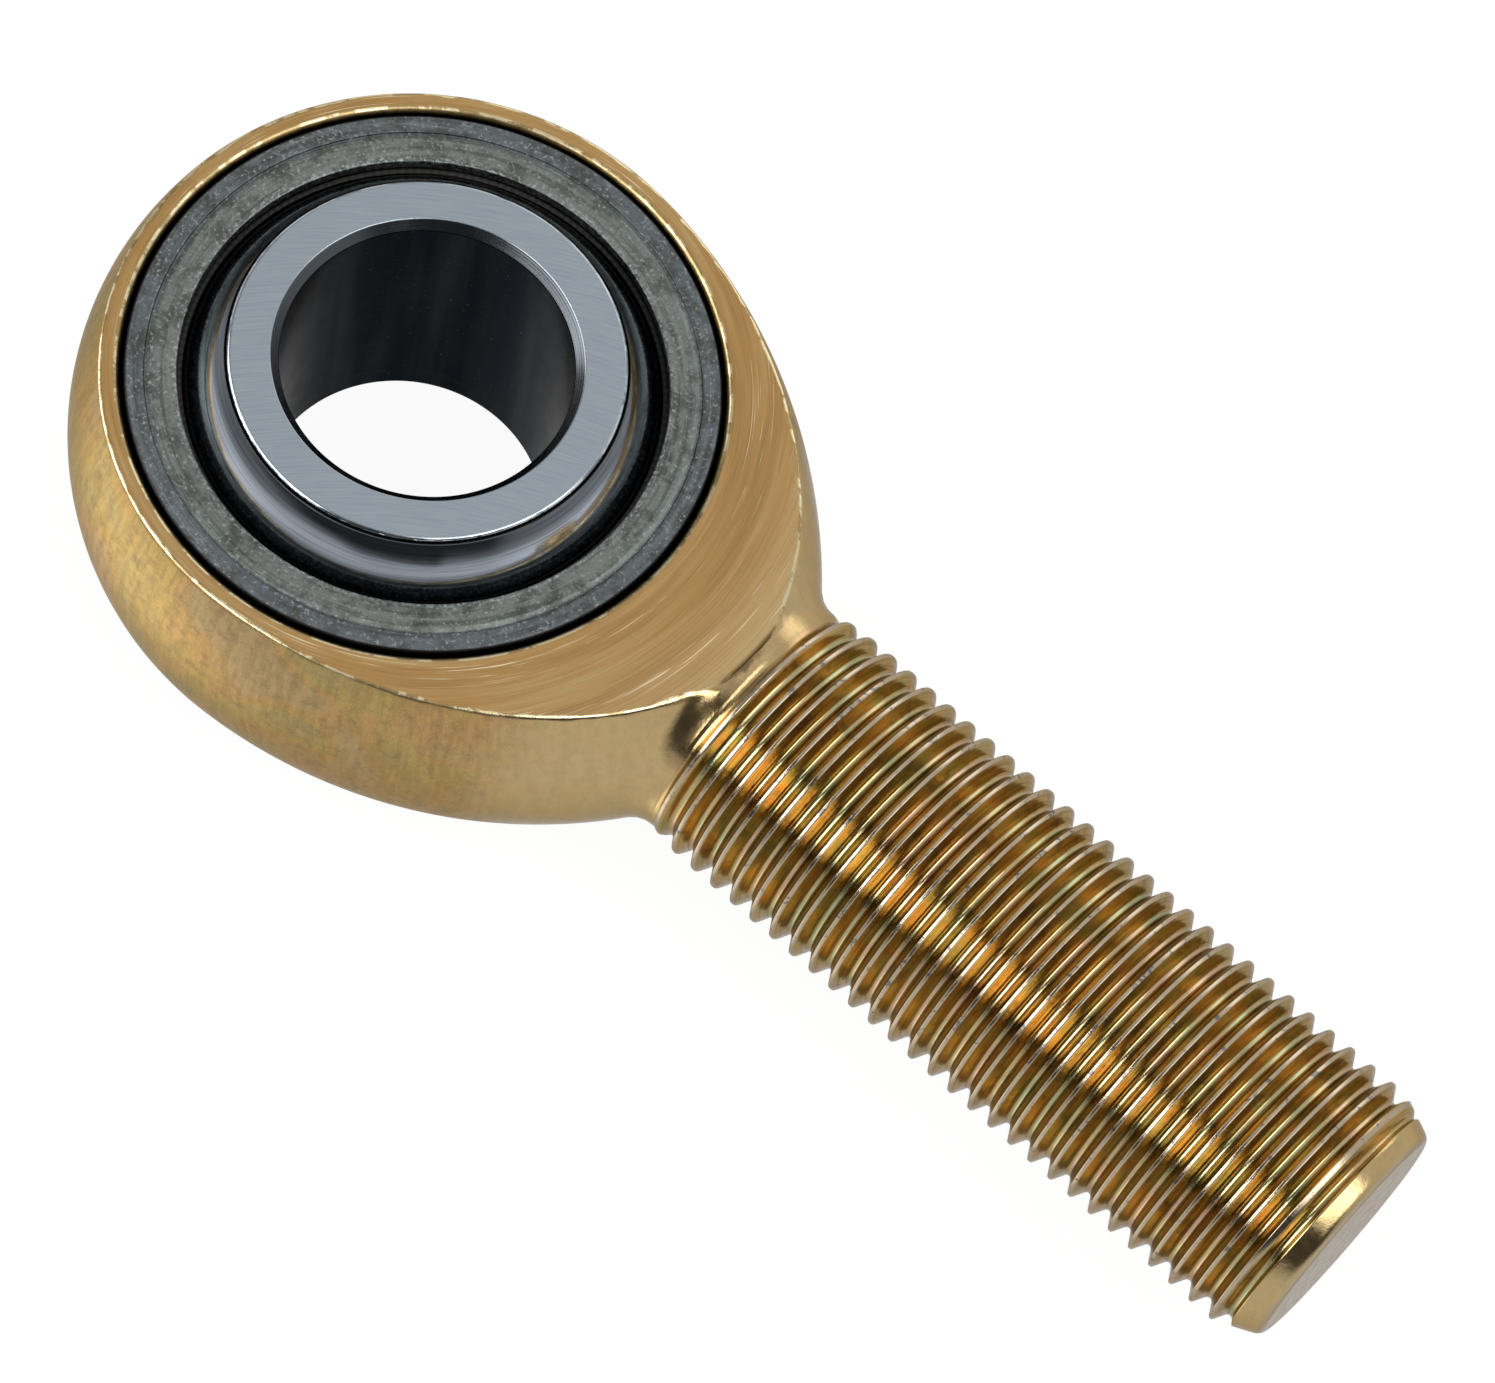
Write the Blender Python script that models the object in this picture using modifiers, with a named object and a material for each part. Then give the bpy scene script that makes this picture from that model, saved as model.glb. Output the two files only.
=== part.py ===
"""Rod end bearing: 5/8 inch bore, spherical ball, male shank with a left-hand 5/8-18 thread.

Four separate pieces: the forged body with its threaded shank, the steel race held in its head,
the thin PTFE liner inside the race, and the bored ball that turns and tilts in the liner.
The origin is the ball's centre, +X runs along the shank to its end, and +Z is the bore's axis.
"""

import math

import bmesh
import bpy

MM = 0.001
INCH = 0.0254

# Ball
BORE_RADIUS = 0.6250 / 2 * INCH
BALL_RADIUS = 1.1250 / 2 * INCH
BALL_HALF_WIDTH = 0.750 / 2 * INCH
BORE_CHAMFER = 0.50 * MM

# Running gaps, wide enough for facets to turn past each other
LINER_INNER_RADIUS = BALL_RADIUS + 0.1025 * MM
LINER_THICKNESS = 0.26 * MM
LINER_HALF_WIDTH = 6.20 * MM
RACE_INNER_RADIUS = LINER_INNER_RADIUS + LINER_THICKNESS + 0.09 * MM

# Race
RACE_OUTER_RADIUS = 16.10 * MM
RACE_HALF_WIDTH = 7.10 * MM
RACE_RELIEF_RADIUS = 13.25 * MM
RACE_EDGE_CHAMFER = 0.15 * MM

# Head of the body
HEAD_HALF_WIDTH = 0.562 / 2 * INCH
HEAD_RADIUS = 18.83 * MM
SHOULDER_RADIUS = 30.60 * MM
SHOULDER_START = math.radians(3.5)
FACING_RADIUS = 23.50 * MM
SEAT_RADIUS = 16.18 * MM
SEAT_MOUTH_RADIUS = 16.50 * MM
SEAT_CHAMFER_DEPTH = 0.59 * MM

# Neck and threaded shank
SHANK_END = 2.625 * INCH
NECK_RADIUS = 7.48 * MM
NECK_FILLET = 2.00 * MM
NECK_END = 24.70 * MM
THREAD_PITCH = INCH / 18
THREAD_CREST_RADIUS = 7.88 * MM
THREAD_ROOT_RADIUS = 7.07 * MM
THREAD_CREST_HALF_WIDTH = THREAD_PITCH / 16
THREAD_FLANK_SLOPE = math.tan(math.radians(30))
THREAD_START = 24.00 * MM
THREAD_START_ANGLE = math.radians(52.5)
RUN_IN_DEPTH = 0.60 * MM
RUN_IN_LENGTH = 0.55 * MM
END_CHAMFER_START = 64.20 * MM
END_CHAMFER_SLOPE = 0.44

# Facets round each axis, and along each arc of a turned profile
RING_STEPS = 48
HEAD_STEPS = 40
THREAD_STEPS = 20
FACING_STEPS = 64
BALL_ARC_STEPS = 13
LINER_ARC_STEPS = 8
RACE_ARC_STEPS = 8
SPHERE_ARC_STEPS = 14
SHOULDER_ARC_STEPS = 11
FILLET_ARC_STEPS = 5

# How far joined solids reach into each other, and cutters past what they cut
RIDGE_BURIED = 0.15 * MM
CORE_INSET = 0.30 * MM
SHANK_BURIED = 4.00 * MM
OVERRUN = 1.00 * MM
MERGE_DISTANCE = 0.00001
SHARP_ANGLE = math.radians(30)

SHANK_DIRECTION = (0, math.pi / 2, 0)


def clear_scene():
    for obj in list(bpy.data.objects):
        bpy.data.objects.remove(obj, do_unlink=True)


def make_collection(name):
    collection = bpy.data.collections.new(name)
    bpy.context.scene.collection.children.link(collection)
    return collection


def make_material(name, colour, roughness, metallic):
    material = bpy.data.materials.new(name)
    material.use_nodes = True
    shader = material.node_tree.nodes["Principled BSDF"]
    shader.inputs["Base Color"].default_value = (*colour, 1)
    shader.inputs["Roughness"].default_value = roughness
    shader.inputs["Metallic"].default_value = metallic
    return material


def arc(radius, start, end, segments, centre=(0, 0)):
    """Points (radius from the axis, height) of an arc, with angles measured from the axis direction."""
    points = []
    for step in range(segments + 1):
        angle = start + (end - start) * step / segments
        points.append((centre[0] + radius * math.sin(angle), centre[1] + radius * math.cos(angle)))
    return points


def turned(name, profile, steps, collection, closed=False, start_angle=0):
    """Turns a profile, listed down its outer side, about the object's own Z axis."""
    across = math.cos(start_angle)
    along = math.sin(start_angle)
    mesh = bpy.data.meshes.new(name)
    edges = [(i, i + 1) for i in range(len(profile) - 1)]
    if closed:
        edges.append((len(profile) - 1, 0))
    mesh.from_pydata([(radius * across, radius * along, height) for radius, height in profile], edges, [])
    obj = bpy.data.objects.new(name, mesh)
    collection.objects.link(obj)
    screw = obj.modifiers.new("Turn", "SCREW")
    screw.steps = steps
    screw.render_steps = steps
    screw.use_merge_vertices = True
    screw.merge_threshold = MERGE_DISTANCE
    return obj


def disc(name, radius, low, high, collection):
    """A plain cylinder about Z between two heights."""
    mesh = bpy.data.meshes.new(name)
    bm = bmesh.new()
    bmesh.ops.create_cone(
        bm, cap_ends=True, segments=FACING_STEPS, radius1=radius, radius2=radius, depth=high - low
    )
    bmesh.ops.translate(bm, verts=bm.verts, vec=(0, 0, (low + high) / 2))
    bm.to_mesh(mesh)
    bm.free()
    obj = bpy.data.objects.new(name, mesh)
    collection.objects.link(obj)
    return obj


def boolean(obj, operation, other):
    modifier = obj.modifiers.new(f"{operation.title()} {other.name}", "BOOLEAN")
    modifier.operation = operation
    modifier.solver = "EXACT"
    modifier.object = other
    other.hide_render = True
    other.display_type = "WIRE"


def finish_piece(obj, material, parent):
    """Applies the modifiers, then gives the piece its material, smooth shading and parent."""
    graph = bpy.context.evaluated_depsgraph_get()
    mesh = bpy.data.meshes.new_from_object(obj.evaluated_get(graph))
    mesh.name = obj.name
    obj.modifiers.clear()
    obj.data = mesh
    mesh.materials.clear()
    mesh.materials.append(material)
    mesh.shade_smooth()
    mesh.set_sharp_from_angle(angle=SHARP_ANGLE)
    obj.parent = parent


def make_ball(collection):
    face_angle = math.acos(BALL_HALF_WIDTH / BALL_RADIUS)
    mouth_radius = BORE_RADIUS + BORE_CHAMFER
    chamfer_height = BALL_HALF_WIDTH - BORE_CHAMFER
    profile = arc(BALL_RADIUS, face_angle, math.pi - face_angle, BALL_ARC_STEPS)
    profile += [
        (mouth_radius, -BALL_HALF_WIDTH),
        (BORE_RADIUS, -chamfer_height),
        (BORE_RADIUS, chamfer_height),
        (mouth_radius, BALL_HALF_WIDTH),
    ]
    return turned("ball", profile, RING_STEPS, collection, closed=True)


def make_liner(collection):
    outer_radius = LINER_INNER_RADIUS + LINER_THICKNESS
    outer_angle = math.acos(LINER_HALF_WIDTH / outer_radius)
    inner_angle = math.acos(LINER_HALF_WIDTH / LINER_INNER_RADIUS)
    profile = arc(outer_radius, outer_angle, math.pi - outer_angle, LINER_ARC_STEPS)
    profile += arc(LINER_INNER_RADIUS, math.pi - inner_angle, inner_angle, LINER_ARC_STEPS)
    return turned("ptfe_liner", profile, RING_STEPS, collection, closed=True)


def make_race(collection):
    relief_angle = math.asin(RACE_RELIEF_RADIUS / RACE_INNER_RADIUS)
    edge_radius = RACE_OUTER_RADIUS - RACE_EDGE_CHAMFER
    edge_height = RACE_HALF_WIDTH - RACE_EDGE_CHAMFER
    profile = [
        (edge_radius, RACE_HALF_WIDTH),
        (RACE_OUTER_RADIUS, edge_height),
        (RACE_OUTER_RADIUS, -edge_height),
        (edge_radius, -RACE_HALF_WIDTH),
        (RACE_RELIEF_RADIUS, -RACE_HALF_WIDTH),
    ]
    profile += arc(RACE_INNER_RADIUS, math.pi - relief_angle, relief_angle, RACE_ARC_STEPS)
    profile.append((RACE_RELIEF_RADIUS, RACE_HALF_WIDTH))
    return turned("outer_race", profile, RING_STEPS, collection, closed=True)


def end_chamfer_radius(x):
    return THREAD_CREST_RADIUS - END_CHAMFER_SLOPE * (x - END_CHAMFER_START)


def head_profile():
    """The head and neck turned about the shank's axis, from inside the shank round to the far side."""
    # The shoulder arc is tangent to the head's sphere where its angle from the radial line is SHOULDER_START.
    offset = SHOULDER_RADIUS - HEAD_RADIUS
    centre = (-offset * math.cos(SHOULDER_START), -offset * math.sin(SHOULDER_START))
    fillet_height = NECK_RADIUS + NECK_FILLET
    reach = SHOULDER_RADIUS + NECK_FILLET
    shoulder_end = math.asin((fillet_height - centre[0]) / reach)
    fillet_x = centre[1] + reach * math.cos(shoulder_end)
    core_radius = THREAD_ROOT_RADIUS - CORE_INSET
    core_end = NECK_END + (NECK_RADIUS - core_radius)
    profile = [(0, core_end), (core_radius, core_end), (NECK_RADIUS, NECK_END)]
    fillet_centre = (fillet_height, fillet_x)
    sphere_start = math.pi / 2 - SHOULDER_START
    profile += arc(-NECK_FILLET, math.pi / 2, shoulder_end, FILLET_ARC_STEPS, fillet_centre)
    profile += arc(SHOULDER_RADIUS, shoulder_end, sphere_start, SHOULDER_ARC_STEPS, centre)[1:]
    profile += arc(HEAD_RADIUS, sphere_start, math.pi, SPHERE_ARC_STEPS)[1:]
    profile[-1] = (0, -HEAD_RADIUS)
    return profile


def thread_section(height):
    """Half width along the shank, and radius, of each corner of the ridge whose crest is at this height."""
    crest = THREAD_CREST_RADIUS - RUN_IN_DEPTH * math.exp(-(height - THREAD_START) / RUN_IN_LENGTH)
    base = THREAD_ROOT_RADIUS - RIDGE_BURIED
    corners = []
    for side, radius in ((-1, base), (-1, crest), (1, crest), (1, base)):
        half_width = THREAD_CREST_HALF_WIDTH + (THREAD_CREST_RADIUS - radius) * THREAD_FLANK_SLOPE
        corners.append((radius, height + side * half_width))
    return corners


def make_thread_ridge(collection):
    """One closed ridge wound left-handed about Z, from the neck to past the shank's end."""
    turns = (SHANK_END + OVERRUN - THREAD_START) / THREAD_PITCH
    bm = bmesh.new()
    sections = []
    for step in range(round(turns * THREAD_STEPS) + 1):
        turn = step / THREAD_STEPS
        angle = THREAD_START_ANGLE - 2 * math.pi * turn
        section = []
        for radius, height in thread_section(THREAD_START + turn * THREAD_PITCH):
            section.append(bm.verts.new((radius * math.cos(angle), radius * math.sin(angle), height)))
        sections.append(section)
    for near, far in zip(sections, sections[1:]):
        for i in range(len(near)):
            j = (i + 1) % len(near)
            bm.faces.new((near[i], near[j], far[j], far[i]))
    bm.faces.new(sections[0])
    bm.faces.new(sections[-1])
    bmesh.ops.recalc_face_normals(bm, faces=bm.faces)
    mesh = bpy.data.meshes.new("thread_ridge")
    bm.to_mesh(mesh)
    bm.free()
    obj = bpy.data.objects.new("thread_ridge", mesh)
    obj.rotation_euler = SHANK_DIRECTION
    collection.objects.link(obj)
    return obj


def make_threaded_shank(collection):
    """The root core joined with the ridge, then cut to length and chamfered at the end."""
    start = THREAD_START - SHANK_BURIED
    past_end = SHANK_END + OVERRUN / 2
    core = [(0, past_end), (THREAD_ROOT_RADIUS, past_end), (THREAD_ROOT_RADIUS, start), (0, start)]
    shank = turned("threaded_shank", core, THREAD_STEPS, collection, start_angle=THREAD_START_ANGLE)
    shank.rotation_euler = SHANK_DIRECTION

    clear_radius = THREAD_CREST_RADIUS + OVERRUN
    cone_start = END_CHAMFER_START - OVERRUN / END_CHAMFER_SLOPE
    envelope_profile = [
        (0, SHANK_END),
        (end_chamfer_radius(SHANK_END), SHANK_END),
        (clear_radius, cone_start),
        (clear_radius, start - OVERRUN),
        (0, start - OVERRUN),
    ]
    envelope = turned("shank_envelope", envelope_profile, HEAD_STEPS, collection)
    envelope.rotation_euler = SHANK_DIRECTION

    boolean(shank, "UNION", make_thread_ridge(collection))
    boolean(shank, "INTERSECT", envelope)
    return shank


def make_body(collection, tools):
    body = turned("rod_end_body", head_profile(), HEAD_STEPS, collection)
    body.rotation_euler = SHANK_DIRECTION

    above = HEAD_RADIUS + OVERRUN
    top_facing = disc("top_facing", FACING_RADIUS, HEAD_HALF_WIDTH, above, tools)
    bottom_facing = disc("bottom_facing", FACING_RADIUS, -above, -HEAD_HALF_WIDTH, tools)

    seat_height = HEAD_HALF_WIDTH - SEAT_CHAMFER_DEPTH
    flare = (SEAT_MOUTH_RADIUS - SEAT_RADIUS) / SEAT_CHAMFER_DEPTH
    flare_radius = SEAT_MOUTH_RADIUS + flare * OVERRUN
    flare_height = HEAD_HALF_WIDTH + OVERRUN
    seat_profile = [
        (0, flare_height),
        (flare_radius, flare_height),
        (SEAT_RADIUS, seat_height),
        (SEAT_RADIUS, -seat_height),
        (flare_radius, -flare_height),
        (0, -flare_height),
    ]
    seat = turned("race_seat", seat_profile, RING_STEPS, tools)

    boolean(body, "UNION", make_threaded_shank(tools))
    boolean(body, "DIFFERENCE", top_facing)
    boolean(body, "DIFFERENCE", bottom_facing)
    boolean(body, "DIFFERENCE", seat)
    return body


def main():
    clear_scene()
    parts = make_collection("rod_end_bearing")
    tools = make_collection("cutters")
    frame = bpy.data.objects.new("ball_centre", None)
    parts.objects.link(frame)

    gold = make_material("gold_chromate", (0.56, 0.40, 0.17), 0.38, 1.0)
    race_steel = make_material("race_steel", (0.17, 0.19, 0.20), 0.45, 1.0)
    liner_fabric = make_material("liner_fabric", (0.05, 0.05, 0.05), 0.80, 0.0)
    ball_chrome = make_material("ball_chrome", (0.48, 0.52, 0.57), 0.15, 1.0)

    pieces = [
        (make_body(parts, tools), gold),
        (make_race(parts), race_steel),
        (make_liner(parts), liner_fabric),
        (make_ball(parts), ball_chrome),
    ]
    for piece, material in pieces:
        finish_piece(piece, material, frame)


main()
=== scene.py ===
"""Looks of the rod end bearing: fine meshes, procedural finishes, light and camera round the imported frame.

Lengths are in millimetres inside the shape functions and become metres when a mesh is made.
The frame is the part's own: +X along the shank, +Z along the bore, origin at the ball's centre.
"""

import math

import bmesh
import bpy
import numpy as np
from mathutils import Matrix, Vector, noise


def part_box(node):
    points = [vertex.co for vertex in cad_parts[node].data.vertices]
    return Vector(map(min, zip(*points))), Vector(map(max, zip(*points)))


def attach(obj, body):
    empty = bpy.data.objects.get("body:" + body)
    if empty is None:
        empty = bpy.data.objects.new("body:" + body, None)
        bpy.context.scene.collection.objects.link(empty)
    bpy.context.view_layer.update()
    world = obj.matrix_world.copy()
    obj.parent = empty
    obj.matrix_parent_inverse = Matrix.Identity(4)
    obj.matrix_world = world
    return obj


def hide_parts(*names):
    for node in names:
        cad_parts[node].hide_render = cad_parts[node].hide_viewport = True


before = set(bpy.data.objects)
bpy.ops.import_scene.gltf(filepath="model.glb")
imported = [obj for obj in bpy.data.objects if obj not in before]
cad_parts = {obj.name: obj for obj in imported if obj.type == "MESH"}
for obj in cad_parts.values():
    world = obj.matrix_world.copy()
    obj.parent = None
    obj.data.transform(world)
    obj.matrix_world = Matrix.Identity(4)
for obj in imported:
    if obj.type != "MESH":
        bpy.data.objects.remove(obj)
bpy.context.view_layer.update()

MM = 0.001
INCH = 25.4


def frame_size(node):
    """Lowest and highest corner of a CAD node, in millimetres."""
    low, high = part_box(node)
    return low / MM, high / MM


body_low, body_high = frame_size("rod_end_body")
_, race_high = frame_size("outer_race")
_, liner_high = frame_size("ptfe_liner")
ball_low, ball_high = frame_size("ball")

# Ball
BALL_RADIUS = ball_high.x
BALL_HALF_WIDTH = ball_high.z
BORE_RADIUS = 0.625 / 2 * INCH
BORE_CHAMFER = 0.50
BALL_EDGE_ROUND = 0.24
# Where the light band painted on the sphere as a reflection lies
REFLECTION_BAND_HEIGHT = 8.05
REFLECTION_BAND_HALF_WIDTH = 0.75

# Race and liner
RACE_OUTER_RADIUS = race_high.x
RACE_HALF_WIDTH = race_high.z
RACE_SPHERE_RADIUS = BALL_RADIUS + 0.4525
RACE_RELIEF_RADIUS = 13.25
RACE_GROOVE_RADIUS = 14.95
RACE_GROOVE_DEPTH = 0.12
LINER_INNER_RADIUS = BALL_RADIUS + 0.1025
LINER_THICKNESS = 0.26
LINER_HALF_WIDTH = liner_high.z

# Head of the body
HEAD_HALF_WIDTH = 0.562 / 2 * INCH
HEAD_RADIUS = -body_low.x
SHOULDER_RADIUS = 30.60
SHOULDER_START = math.radians(3.5)
FACING_RADIUS = 23.50
FACING_FILLET = 0.35
SEAT_RADIUS = 16.18
SEAT_MOUTH_RADIUS = 16.50
SEAT_CHAMFER_DEPTH = 0.59
SEAT_FLARE = (SEAT_MOUTH_RADIUS - SEAT_RADIUS) / SEAT_CHAMFER_DEPTH

# Neck, thread and shank end
SHANK_END = body_high.x
NECK_RADIUS = 7.48
NECK_FILLET = 2.00
THREAD_PITCH = INCH / 18
CREST_RADIUS = 7.88
ROOT_RADIUS = 7.07
ROOT_ARC = 0.26
CREST_HALF_WIDTH = THREAD_PITCH / 16
FLANK_SLOPE = 1 / math.tan(math.radians(30))
ROOT_HALF_WIDTH = ROOT_ARC * math.cos(math.radians(30))
CREST_PLACE = 25.345
THREAD_START = 24.10
THREAD_RISE = 1.05
THREAD_RISE_POWER = 1.2
THREAD_FADE = (65.20, 66.00)
END_CHAMFER_START = 64.20
END_CHAMFER_SLOPE = 0.44
END_ROUND = 0.45
CREST_ROUND = 0.05
GRID_END = 66.15

# Shoulder and fillet arcs in the plane of (distance from the shank's axis, x)
SHOULDER_OFFSET = SHOULDER_RADIUS - HEAD_RADIUS
SHOULDER_CENTRE = (
    -SHOULDER_OFFSET * math.cos(SHOULDER_START),
    -SHOULDER_OFFSET * math.sin(SHOULDER_START),
)
TANGENT_X = HEAD_RADIUS * math.sin(SHOULDER_START)
FILLET_HEIGHT = NECK_RADIUS + NECK_FILLET
SHOULDER_END_ANGLE = math.asin((FILLET_HEIGHT - SHOULDER_CENTRE[0]) / (SHOULDER_RADIUS + NECK_FILLET))
FILLET_X = SHOULDER_CENTRE[1] + (SHOULDER_RADIUS + NECK_FILLET) * math.cos(SHOULDER_END_ANGLE)
SHOULDER_END_X = SHOULDER_CENTRE[1] + SHOULDER_RADIUS * math.cos(SHOULDER_END_ANGLE)

# Rounding of the head's edges
EDGE_ROUND = 0.15
EDGE_WEAR = 0.13
SEAT_EDGE_ROUND = 0.24
WEAR_SCALE = 0.55
FINE_WEAR_SCALE = 2.3
FINE_WEAR_SHARE = 0.6
WEAR_BIAS = 0.35

# Mesh density and detail
SETTLE_ROUNDS = 3
SHANK_STEPS = 128
RING_STEPS = 256
SPHERE_RINGS = 96
SHOULDER_RINGS = 44
FACING_ARC_STEPS = 6
ROUNDING_STEPS = 6
ROUNDING_SUPPORT = 0.3
BALL_ARC_STEPS = 72
RACE_ARC_STEPS = 40
LINER_ARC_STEPS = 32
BALL_ARC_INSET = math.radians(0.6)
LONGEST_STEP = 0.5
LONGEST_BALL_STEP = 0.6
EDGE_RINGS = (0.05, 0.11, 0.19, 0.30)
LONGEST_OUTLINE_EDGE = 0.35
CREST_LINES = (0, 0.6, 1, 1.5)
FLANK_LINE = 0.21
ROOT_LINES = (1, 0.75, 0.5, 0.25)
SHANK_CORNER_SHARES = (0.25, 0.45, 0.6, 0.72, 0.82, 0.9, 1.0)
SHANK_END_INSETS = (0.06, 0.14, 0.24, 0.36, 0.6, 1.5, 3.0, 4.5, 6.0)

# Tolerances and clearances
CUTTER_OVERRUN = 2
HEAD_END_MARGIN = 0.1
CUTTER_WELD_DISTANCE = 0.0005
WELD_DISTANCE = 0.004
GRADIENT_STEP = 0.004
ANGLE_TOLERANCE = 1e-6
PLANE_TOLERANCE = 0.002
SHORTEST_GRID_STEP = 0.012

# Where the finishes change
NECK_GLOSS = (15.0, 19.0)
THREAD_TINT_START = (THREAD_START, THREAD_START + 0.8)
THREAD_TINT_END = (64.8, 65.4)
# Span where painted light brightens the flats towards the neck
PAINTED_LIGHT_SPAN_ON_FLAT = (19.0, 23.0)
WHEEL_CENTRE = (26.0, -34.0, 0.0)


# ---------------------------------------------------------------- the body's shape as one distance function


def smooth_min(a, b, blend):
    """The smaller of two distances, rounded over a width where they meet."""
    share = np.clip(0.5 + 0.5 * (b - a) / blend, 0, 1)
    return b * (1 - share) + a * share - blend * share * (1 - share)


def smooth_max(a, b, blend):
    return -smooth_min(-a, -b, blend)


def smooth_step(low, high, value):
    share = np.clip((value - low) / (high - low), 0, 1)
    return share * share * (3 - 2 * share)


def thread_profile(x, angle):
    """Radius of the full left-hand thread at a place along the shank and an angle round it."""
    turns = (x - CREST_PLACE) / THREAD_PITCH + angle / (2 * math.pi)
    from_crest = np.abs(turns - np.round(turns)) * THREAD_PITCH
    flank = CREST_RADIUS - (from_crest - CREST_HALF_WIDTH) * FLANK_SLOPE
    from_root = THREAD_PITCH / 2 - from_crest
    root = ROOT_RADIUS + ROOT_ARC - np.sqrt(ROOT_ARC**2 - np.minimum(from_root, ROOT_HALF_WIDTH) ** 2)
    return np.where(from_root < ROOT_HALF_WIDTH, root, smooth_min(flank, CREST_RADIUS, CREST_ROUND))


def shank_radius(x, angle):
    """Radius of the neck and the threaded shank, with the thread growing out of the fillet."""
    before_neck = np.clip(FILLET_X - x, 0, NECK_FILLET)
    blank = FILLET_HEIGHT - np.sqrt(NECK_FILLET**2 - before_neck**2)
    run = np.maximum(x - THREAD_START, 0) / THREAD_RISE
    grown = 1 - np.exp(-(run**THREAD_RISE_POWER))
    grown = grown * (1 - smooth_step(*THREAD_FADE, x))
    threaded = blank + grown * (thread_profile(x, angle) - NECK_RADIUS)
    cone = CREST_RADIUS - END_CHAMFER_SLOPE * (x - END_CHAMFER_START)
    return smooth_min(threaded, cone, CREST_ROUND)


def turned_distance(x, y, z):
    """How deep a point lies inside the head, neck and shank turned about the X axis."""
    axis_distance = np.hypot(y, z)
    sphere = HEAD_RADIUS - np.hypot(x, axis_distance)
    shoulder = SHOULDER_RADIUS - np.hypot(axis_distance - SHOULDER_CENTRE[0], x - SHOULDER_CENTRE[1])
    fillet = np.hypot(axis_distance - FILLET_HEIGHT, x - FILLET_X) - NECK_FILLET
    shank = shank_radius(x, np.arctan2(z, y)) - axis_distance
    shank = smooth_min(shank, SHANK_END - x, END_ROUND)
    regions = [x < TANGENT_X, x < SHOULDER_END_X, x < FILLET_X]
    return np.select(regions, [sphere, shoulder, fillet], shank)


def body_distance(points, edge_round):
    """How deep points lie inside the finished body, with its edges rounded."""
    x, y, z = points.T
    height = np.abs(z)
    bore_distance = np.hypot(x, y)
    outer = turned_distance(x, y, z)
    facing = smooth_max(HEAD_HALF_WIDTH - height, bore_distance - FACING_RADIUS, FACING_FILLET)
    chamfer = np.maximum(height - HEAD_HALF_WIDTH + SEAT_CHAMFER_DEPTH, 0) * SEAT_FLARE
    seat = bore_distance - SEAT_RADIUS - chamfer
    solid = smooth_min(outer, facing, edge_round)
    return smooth_min(solid, seat, SEAT_EDGE_ROUND)


def slope_of(points, edge_round):
    """Gradient of body_distance, by central differences."""
    slopes = []
    for axis in range(3):
        shift = np.zeros(3)
        shift[axis] = GRADIENT_STEP
        ahead = body_distance(points + shift, edge_round)
        behind = body_distance(points - shift, edge_round)
        slopes.append((ahead - behind) / (2 * GRADIENT_STEP))
    return np.stack(slopes, axis=1)


def worn_edge_round(points):
    """Rounding of the head's outline, wider where handling has worn it."""
    worn = []
    for point in map(Vector, points):
        fine = noise.noise(point * FINE_WEAR_SCALE)
        worn.append(noise.noise(point * WEAR_SCALE) + FINE_WEAR_SHARE * fine)
    return EDGE_ROUND + EDGE_WEAR * np.clip(np.array(worn) + WEAR_BIAS, 0, 1)


# ---------------------------------------------------------------- mesh helpers


def new_object(name, data):
    obj = bpy.data.objects.new(name, data)
    bpy.context.scene.collection.objects.link(obj)
    return obj


def unique(items):
    """The items in their first order, each once."""
    return list(dict.fromkeys(items))


def turned_points(profile, steps):
    """Points of a profile of (radius, height) turned about Z, ring by ring."""
    angles = np.arange(steps) * 2 * math.pi / steps
    radius = np.array([p[0] for p in profile])[:, None]
    height = np.array([p[1] for p in profile])[:, None]
    x = radius * np.cos(angles)
    y = radius * np.sin(angles)
    return np.stack([x, y, height + 0 * x], axis=-1).reshape(-1, 3)


def turned_mesh(name, profile, steps):
    """A closed profile, listed down its outer side, turned about Z into a closed ring of quads."""
    points = turned_points(profile, steps)
    count = len(profile)
    faces = []
    for ring in range(count):
        here = ring * steps
        below = (ring + 1) % count * steps
        for step in range(steps):
            beside = (step + 1) % steps
            faces.append((here + step, below + step, below + beside, here + beside))
    mesh = bpy.data.meshes.new(name)
    mesh.from_pydata((points * MM).tolist(), [], faces)
    mesh.shade_smooth()
    return mesh


def rounded_profile(corners, longest):
    """A closed profile with no step over the longest, from corners of (radius, height, rounding)."""
    path = []
    for i, (radius, height, rounding) in enumerate(corners):
        corner = Vector((radius, height))
        before = (Vector(corners[i - 1][:2]) - corner).normalized()
        after = (Vector(corners[(i + 1) % len(corners)][:2]) - corner).normalized()
        path += rounded_corner(corner, before, after, rounding)
    profile = []
    for i, point in enumerate(path):
        following = path[(i + 1) % len(path)]
        pieces = max(1, math.ceil((following - point).length / longest))
        for piece in range(pieces):
            profile.append(tuple(point.lerp(following, piece / pieces)))
    return profile


def rounded_corner(corner, before, after, rounding):
    """A corner's arc, with a point a little before and after it that keeps the shading of the sides."""
    if rounding == 0:
        return [corner]
    half_turn = before.angle(after) / 2
    reach = rounding / math.tan(half_turn)
    centre = corner + (before + after).normalized() * rounding / math.sin(half_turn)
    first = corner + before * reach - centre
    last = corner + after * reach - centre
    support = rounding * ROUNDING_SUPPORT
    sweep = first.angle_signed(last)
    points = [centre + first + before * support]
    for step in range(ROUNDING_STEPS + 1):
        turn = Matrix.Rotation(-sweep * step / ROUNDING_STEPS, 2)
        points.append(centre + turn @ first)
    points.append(centre + last + after * support)
    return points


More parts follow.
